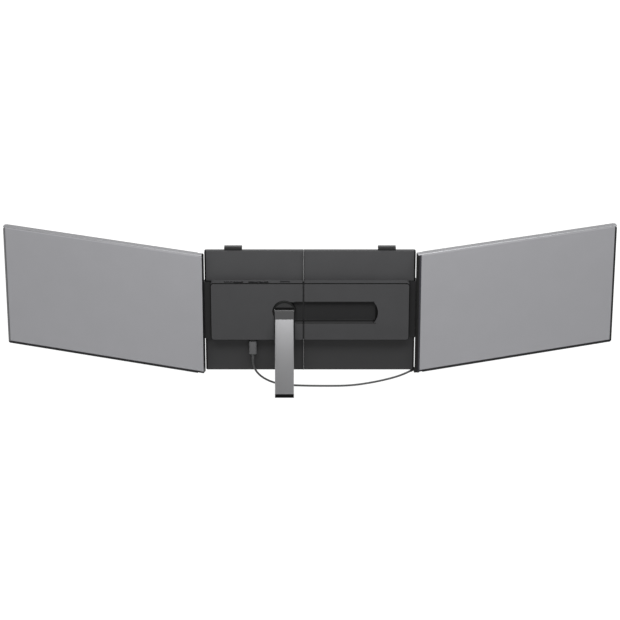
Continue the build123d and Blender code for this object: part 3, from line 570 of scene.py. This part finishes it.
def addPlugGrip():
    low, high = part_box("plug_body")
    low.x += plugParts["slim"]
    high.x -= plugParts["slim"]
    grip = startBox("plugGrip", low, (high.x, high.y, high.z - plugParts["collar"]))
    edit(grip)
    pickEdges(grip, lambda spot, way: abs(way.z) > aligned)
    bpy.ops.mesh.bevel(offset=plugParts["edge"], segments=6, affect="EDGES")
    pickFaces(grip, lambda spot, normal: normal.z < -aligned)
    bpy.ops.mesh.bevel(offset=plugParts["mouth"], segments=3, affect="EDGES")
    first = low.z + plugParts["toFirstRib"]
    levels = [first + i * plugParts["ribStep"] for i in range(plugParts["ribs"])]
    middle = (low + high) / 2
    pickFaces(grip, lambda spot, normal: normal.z > aligned)
    bpy.ops.mesh.inset(thickness=plugParts["collarInset"])
    bpy.ops.mesh.extrude_region_move(TRANSFORM_OT_translate={"value": (0, 0, plugParts["collar"])})
    reach = (high.x - low.x) * plugParts["ribsFromMiddle"]
    channels(grip, 2, levels, plugParts["ribWidth"], plugParts["ribDepth"],
             lambda spot, normal: abs(normal.z) < across and abs(spot.x - middle.x) > reach)
    leave()
    softenEdges(grip, plugParts["soft"], segments=2, angle=50)
    grip.data.materials.append(materials["plugPlastic"])
    grip.data.materials.append(materials["blackPlastic"])
    collarFrom = high.z - plugParts["collar"] * plugParts["collarBlack"]
    for face in grip.data.polygons:
        face.material_index = 1 if face.center.z > collarFrom else 0
    return finishPiece(grip, "plugPlastic", "left_half", ["plug_body"])


reliefParts = {"rings": 5, "gap": 0.0009, "depth": 0.00035, "sides": 36, "tip": 0.0020, "soft": 0.00012}


def addRelief():
    low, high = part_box("strain_relief")
    deselect()
    bpy.ops.mesh.primitive_cone_add(vertices=reliefParts["sides"], radius1=reliefParts["tip"],
                                    radius2=(high.x - low.x) / 2, depth=high.z - low.z,
                                    location=(low + high) / 2)
    relief = nameIt("cordRelief")
    bpy.ops.object.transform_apply(location=True, rotation=True, scale=True)
    edit(relief)
    step = (high.z - low.z) / (reliefParts["rings"] + 1)
    levels = [low.z + step * (i + 1) for i in range(reliefParts["rings"])]
    channels(relief, 2, levels, reliefParts["gap"], reliefParts["depth"],
             lambda spot, normal: abs(normal.z) < across)
    leave()
    softenEdges(relief, reliefParts["soft"], segments=2, angle=50)
    return finishPiece(relief, "jacket", "left_half", ["strain_relief"])


glandParts = {"rise": 0.0016, "drop": 0.0054, "inset": 0.0006, "round": 0.0011, "stub": 0.0018,
              "root": 0.0021, "sides": 32, "soft": 0.00015}


def addGland():
    # a small block at the right plate's lower corner, with a stub in line with the cord's end
    low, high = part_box("cord_gland")
    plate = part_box("right_backplate")
    block = startBox("cordGland", (plate[1].x, low.y, plate[0].z - glandParts["drop"]),
                     (high.x - glandParts["inset"], high.y, plate[0].z + glandParts["rise"]))
    edit(block)
    pickEdges(block, lambda spot, way: abs(way.y) > aligned
              and not (spot.x < plate[1].x + near and spot.z > plate[0].z))
    bpy.ops.mesh.bevel(offset=glandParts["round"], segments=5, affect="EDGES")
    leave()
    end = Vector(cordRoute[-1])
    way = (end - Vector(cordRoute[-2])).normalized()
    length = ((plate[1].x + high.x) / 2 - end.x) / way.x
    deselect()
    bpy.ops.mesh.primitive_cone_add(vertices=glandParts["sides"], radius1=glandParts["stub"],
                                    radius2=glandParts["root"], depth=length,
                                    location=end + way * (length / 2),
                                    rotation=way.to_track_quat("Z", "Y").to_euler())
    stub = nameIt("glandStub")
    bpy.ops.object.transform_apply(location=True, rotation=True, scale=True)
    gland = joinAll([block, stub], "cordGland")
    softenEdges(gland, glandParts["soft"], segments=2, angle=50)
    return finishPiece(gland, "blackPlastic", "right_half", ["cord_gland"])


plugGrip = addPlugGrip()
cordRelief = addRelief()
addGland()
print("cord: tube, grip and relief")


# the kickstand: blade and rubber foot along the leg's own axes, and an inlay on the disc
legParts = {"edge": 0.00115, "footRound": 0.0008, "ribs": 3, "ribWidth": 0.0005, "ribStep": 0.0013,
            "ribDepth": 0.0003, "footSoft": 0.0001}


def legPlace():
    joint = joints["kickstand_tilt"]
    turn = Matrix.Rotation(math.radians(-joint["range_deg"][1]), 3, "X")
    return Vector(joint["pos_m"]), turn


def addBlade():
    pivot, turn = legPlace()
    low, high = localBox("leg_blade", pivot, turn)
    blade = startBox("legBlade", low, high)
    edit(blade)
    pickEdges(blade, lambda spot, way: abs(way.z) > aligned)
    bpy.ops.mesh.bevel(offset=legParts["edge"], segments=4, affect="EDGES")
    leave()
    standAt(blade, pivot, turn)
    return finishPiece(blade, "legSilver", "kickstand_leg", ["leg_blade"])


def addFoot():
    pivot, turn = legPlace()
    low, high = localBox("rubber_foot", pivot, turn)
    middle = (low.z + high.z) / 2
    foot = startBox("legFoot", low, high)
    edit(foot)
    pickEdges(foot, lambda spot, way: abs(way.x) > aligned and spot.z < middle)
    bpy.ops.mesh.bevel(offset=legParts["footRound"], segments=4, affect="EDGES")
    levels = rowOf(middle, legParts["ribs"], legParts["ribStep"])
    channels(foot, 2, levels, legParts["ribWidth"], legParts["ribDepth"],
             lambda spot, normal: abs(normal.y) > aligned)
    leave()
    softenEdges(foot, legParts["footSoft"], segments=1, angle=60)
    standAt(foot, pivot, turn)
    return finishPiece(foot, "footRubber", "kickstand_leg", ["rubber_foot"])


inlayParts = {"radius": 0.0150, "drop": 0.0015, "from": 0.0068, "proud": 0.00012, "buried": 0.0004,
              "edge": 0.00006, "sides": 64}


# the inlay is the disc's grey cap; round it the near-black disc shows as a ring of painted shade
def addInlay():
    centre = Vector(joints["kickstand_swivel"]["pos_m"])
    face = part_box("swivel_disc")[0].y
    centre.y = face + (inlayParts["buried"] - inlayParts["proud"]) / 2
    centre.z -= inlayParts["drop"]
    thickness = inlayParts["buried"] + inlayParts["proud"]
    inlay = startDisc("discInlay", centre, inlayParts["radius"], thickness, 1, inlayParts["sides"])
    edit(inlay)
    bpy.ops.mesh.select_all(action="SELECT")
    level = joints["kickstand_swivel"]["pos_m"][2] + inlayParts["from"]
    bpy.ops.mesh.bisect(plane_co=(0, 0, level), plane_no=(0, 0, 1), clear_inner=True, use_fill=True)
    leave()
    softenEdges(inlay, inlayParts["edge"], segments=1, angle=60)
    return finishPiece(inlay, "inlayDark", "kickstand_disc")


addBlade()
addFoot()
addInlay()
print("kickstand: blade, foot and inlay")


# the screens: a glass pane on each display, with its lit area sunk a little inside a black border
screenParts = {"corner": 0.003, "edge": 0.0002, "border": 0.0055, "sink": 0.00008}


def addScreen(side):
    joint = joints[side + "_display_hinge"]
    pivot = Vector(joint["pos_m"])
    pivot.z = 0
    turn = Matrix.Rotation(math.radians(-joint["range_deg"][0]) * joint["axis"][2], 3, "Z")
    node = side + "_display_front_glass"
    low, high = localBox(node, pivot, turn)
    far = high.x if side == "right" else low.x
    pane = startBox(side + "ScreenGlass", low, high)
    edit(pane)
    pickEdges(pane, lambda spot, way: abs(way.y) > aligned and abs(spot.x - far) < near)
    bpy.ops.mesh.bevel(offset=screenParts["corner"], segments=6, affect="EDGES")
    pickFaces(pane, lambda spot, normal: normal.y > aligned)
    bpy.ops.mesh.inset(thickness=screenParts["border"])
    sink(screenParts["sink"])
    leave()
    pane.data.materials.append(materials["glassBorder"])
    pane.data.materials.append(materials["glassActive"])
    active = max(pane.data.polygons, key=lambda face: face.area if face.normal.y > aligned else 0)
    active.material_index = 1
    softenEdges(pane, screenParts["edge"], segments=2, angle=60)
    standAt(pane, pivot, turn)
    return finishPiece(pane, "glassBorder", side + "_display", [node])


for side in ("left", "right"):
    addScreen(side)
print("screens: two panes")


# the side that lies on the lid: ribbed rubber strips, hook pads and cross-head screws
padParts = {"round": 0.004, "lip": 0.0008, "ribStep": 0.0025, "ribWidth": 0.0008, "ribDepth": 0.0002,
            "ribReach": 0.5}


def evenLevels(low, high, step, margin):
    return rowOf((low + high) / 2, int((high - low - 2 * margin) / step), step)


def addStrips(side):
    node = side + "_lid_pads"
    strips = []
    for number, span in enumerate(spansAlong(node, 2)):
        low, high = boxWithin(node, 2, span)
        middle = (low.z + high.z) / 2
        inner = (high.z - low.z) / 2 - padParts["lip"]
        strip = startBox(side + "LidStrip" + str(number), low, high)
        edit(strip)
        pickEdges(strip, lambda spot, way: abs(way.y) > aligned)
        bpy.ops.mesh.bevel(offset=padParts["round"], segments=6, affect="EDGES")
        pickFaces(strip, lambda spot, normal: normal.y > aligned)
        bpy.ops.mesh.inset(thickness=padParts["lip"])
        channels(strip, 0, evenLevels(low.x, high.x, padParts["ribStep"], padParts["round"]),
                 padParts["ribWidth"], padParts["ribDepth"],
                 lambda spot, normal: normal.y > aligned
                 and abs(spot.z - middle) < inner * padParts["ribReach"])
        leave()
        strips.append(strip)
    strips = joinAll(strips, side + "LidStrips")
    return finishPiece(strips, "padRubber", side + "_half", [node])


hookPadParts = {"ribStep": 0.0019, "ribWidth": 0.0006, "ribDepth": 0.0002, "edge": 0.00008}


def addHookPad(side):
    node = side + "_clip_pad"
    low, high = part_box(node)
    pad = startBox(side + "HookPad", low, high)
    edit(pad)
    channels(pad, 0, evenLevels(low.x, high.x, hookPadParts["ribStep"], hookPadParts["ribStep"]),
             hookPadParts["ribWidth"], hookPadParts["ribDepth"], lambda spot, normal: normal.z < -aligned)
    leave()
    softenEdges(pad, hookPadParts["edge"], segments=1, angle=60)
    return finishPiece(pad, "padRubber", side + "_clip", [node])


screwParts = {"recess": 0.0007, "arm": 0.0004, "reach": 0.0014, "depth": 0.0011, "sides": 32}


def addCoverScrews(side):
    node = side + "_cover_screws"
    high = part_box(node)[1]
    columns = spansAlong(node, 0)
    rows = spansAlong(node, 2)
    radius = (columns[0][1] - columns[0][0]) / 2
    centre = Vector((sum(columns[0]) / 2, high.y - screwParts["depth"] / 2, sum(rows[0]) / 2))
    arm, reach = screwParts["arm"], screwParts["reach"]
    head = startDisc(side + "CoverScrews", centre, radius, screwParts["depth"], 1, screwParts["sides"])
    edit(head)
    pickFaces(head, lambda spot, normal: normal.y > aligned)
    bpy.ops.mesh.inset(thickness=radius - reach)
    for axis in (0, 2):
        cutAcross(axis, [centre[axis] - arm, centre[axis] + arm])
    pickFaces(head, lambda spot, normal: normal.y > aligned and (spot - centre).xz.length < reach * within
              and min(abs(spot.x - centre.x), abs(spot.z - centre.z)) < arm * within)
    sink(screwParts["recess"])
    leave()
    heads = [head]
    for column in columns:
        for row in rows:
            shift = Vector((sum(column) / 2, centre.y, sum(row) / 2)) - centre
            if shift.length > near:
                heads.append(copyOf(head, side + "Screw" + str(len(heads)), shift))
    screws = joinAll(heads, side + "CoverScrews")
    return finishPiece(screws, "screwSteel", side + "_half", [node])


for side in ("left", "right"):
    addStrips(side)
    addHookPad(side)
    addCoverScrews(side)
print("lid side: strips, hook pads and screws")


# a soft lip along the left half's inner edge, which closes the seam between the halves; its light grey is
# painted light, standing in for light seen through the seam
gasketParts = {"sunk": 0.0002, "spare": 0.00005, "inset": 0.0006, "round": 0.00015}


def addGasket():
    low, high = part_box("left_backplate")
    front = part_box("left_front_cover")[1].y
    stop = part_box("right_backplate")[0].x
    inset = gasketParts["inset"]
    lip = startBox("seamGasket", (high.x - gasketParts["sunk"], low.y + inset, low.z + inset),
                   (stop - gasketParts["spare"], front - inset, high.z - inset))
    edit(lip)
    pickEdges(lip, lambda spot, way: spot.x > high.x)
    bpy.ops.mesh.bevel(offset=gasketParts["round"], segments=3, affect="EDGES")
    leave()
    return finishPiece(lip, "gasketPaintedLight", "left_half")


addGasket()
print("seam: gasket")


# domed caps on the ends of each hinge pin
capParts = {"radius": 0.0021, "height": 0.0005, "dome": 0.00025}


def addPinCaps(side):
    spot = Vector(joints[side + "_display_hinge"]["pos_m"])
    armLow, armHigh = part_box(side + "_hinge_arm")
    caps = []
    for number, (level, outward) in enumerate(((armLow.z, -1), (armHigh.z, 1))):
        centre = Vector((spot.x, spot.y, level + outward * capParts["height"] / 2))
        cap = startDisc(side + "PinCap" + str(number), centre, capParts["radius"], capParts["height"], 2)
        edit(cap)
        pickFaces(cap, lambda point, normal: normal.z * outward > aligned)
        bpy.ops.mesh.bevel(offset=capParts["dome"], segments=3, affect="EDGES")
        leave()
        caps.append(cap)
    return finishPiece(joinAll(caps, side + "PinCaps"), "pinSteel", side + "_half")


for side in ("left", "right"):
    addPinCaps(side)
print("hinges: pin caps")


# rows of contacts on the tongue of each socket
contactParts = {"pitch": 0.001, "width": 0.0005, "length": 0.0042, "proud": 0.00006, "tongueHalf": 0.0004,
                "margin": 0.003, "sunk": 0.004, "edge": 0.00004}


def addContacts():
    strips = []
    for span in spansAlong("port_shells", 0):
        low, high = boxWithin("port_shells", 0, span)
        levels = evenLevels(low.x, high.x, contactParts["pitch"], contactParts["margin"])
        half = Vector((contactParts["width"] / 2, contactParts["proud"], contactParts["length"] / 2))
        for face in (-1, 1):
            y = (low.y + high.y) / 2 + face * contactParts["tongueHalf"]
            spot = Vector((levels[0], y, high.z - contactParts["sunk"]))
            first = startBox("contact", spot - half, spot + half)
            softenEdges(first, contactParts["edge"], segments=1)
            strips.append(first)
            for level in levels[1:]:
                strips.append(copyOf(first, "contact", Vector((level - levels[0], 0, 0))))
    contacts = joinAll(strips, "socketContacts")
    return finishPiece(contacts, "contactGold", "left_half")


addContacts()
print("sockets: contacts")


# finishes of the CAD nodes that stay
nodeFinish = {
    "backPlastic": ["left_backplate", "right_backplate"],
    "platePlastic": ["left_front_cover", "right_front_cover"],
    "housingPlastic": ["left_housing", "right_housing"],
    "blackPlastic": ["inner_sleeve", "rail_guides", "menu_button", "swivel_washer",
                     "right_display_frame", "left_display_hinge_spine"],
    "leftRimPaintedLight": ["left_display_frame"],
    "spinePlastic": ["right_display_hinge_spine"],
    "armMetal": ["left_hinge_arm", "right_hinge_arm"],
    "pinSteel": ["left_hinge_pin", "right_hinge_pin", "slide_rails", "tilt_pin", "left_clip_spring",
                 "right_clip_spring"],
    "screwSteel": ["left_arm_screws", "right_arm_screws", "swivel_screw"],
    "coverSilver": ["left_display_back_cover", "right_display_back_cover"],
    "discDark": ["swivel_disc"],
    "rootPlastic": ["leg_root"],
    "socketSteel": ["port_shells", "lower_socket"],
    "plugSteel": ["plug_tip"],
    "boardGreen": ["main_board", "button_switch", "left_display_driver_board",
                   "right_display_driver_board"],
    "panelModule": ["left_display_lcd_panel", "right_display_lcd_panel"],
    "clipDark": ["left_clip", "right_clip"],
}
for finish, names in nodeFinish.items():
    for name in names:
        nodes[name].data.materials.clear()
        nodes[name].data.materials.append(materials[finish])
print("finished nodes:", sum(len(names) for names in nodeFinish.values()))


# floor and light: the sun lights only the floor, and the lamps only the unit
floorParts = {"size": 60, "drop": 0.0001, "colour": (0.86, 0.86, 0.86, 1), "rough": 0.9, "shine": 0.1}
skyStrength = 0.32
sunLight = {"rise": 62, "strength": 3.6, "spread": 20}
lamps = {
    "overhead": {"spot": (0.05, -0.42, 0.78), "aim": (-0.02, -0.02, 0), "size": (1.5, 0.35), "power": 24},
    "behind": {"spot": (0, -0.75, 0.17), "aim": (0, 0, 0.17), "size": (0.5, 0.3), "power": 1.0},
    "front": {"spot": (0, 1.8, 1.0), "aim": (0, 0, 0), "size": (2.4, 0.8), "power": 13},
}


def addFloor():
    level = min(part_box(name)[0].z for name in nodes) - floorParts["drop"]
    deselect()
    bpy.ops.mesh.primitive_plane_add(size=floorParts["size"], location=(0, 0, level))
    floor = nameIt("studioFloor")
    bpy.ops.object.transform_apply(location=True, rotation=True, scale=True)
    paint = bpy.data.materials.new("floorPaint")
    paint.use_nodes = True
    shader = paint.node_tree.nodes["Principled BSDF"]
    shader.inputs["Base Color"].default_value = floorParts["colour"]
    shader.inputs["Roughness"].default_value = floorParts["rough"]
    shader.inputs["Specular IOR Level"].default_value = floorParts["shine"]
    floor.data.materials.append(paint)
    return floor


def addLights(floor):
    unit, ground = bpy.data.collections.new("unit"), bpy.data.collections.new("ground")
    for piece in bpy.context.scene.objects:
        if piece.type == "MESH":
            (ground if piece == floor else unit).objects.link(piece)
    for name, lamp in lamps.items():
        way = Vector(lamp["aim"]) - Vector(lamp["spot"])
        bpy.ops.object.light_add(type="AREA", location=lamp["spot"],
                                 rotation=way.to_track_quat("-Z", "Y").to_euler())
        light = bpy.context.object
        light.name = name
        light.data.shape = "RECTANGLE"
        light.data.size, light.data.size_y = lamp["size"]
        light.data.energy = lamp["power"]
        light.visible_camera = False
        light.light_linking.receiver_collection = unit
    bpy.ops.object.light_add(type="SUN", rotation=(math.radians(90 - sunLight["rise"]), 0, 0))
    sun = bpy.context.object
    sun.name = "sun"
    sun.data.energy = sunLight["strength"]
    sun.data.angle = math.radians(sunLight["spread"])
    sun.light_linking.receiver_collection = ground
    sun.light_linking.blocker_collection = ground
    world = bpy.data.worlds.new("studio")
    bpy.context.scene.world = world
    world.use_nodes = True
    world.node_tree.nodes["Background"].inputs["Color"].default_value = (1, 1, 1, 1)
    world.node_tree.nodes["Background"].inputs["Strength"].default_value = skyStrength


addLights(addFloor())
bpy.context.scene.view_settings.view_transform = "Standard"
print("stage: floor, sun and", len(lamps), "lamps")
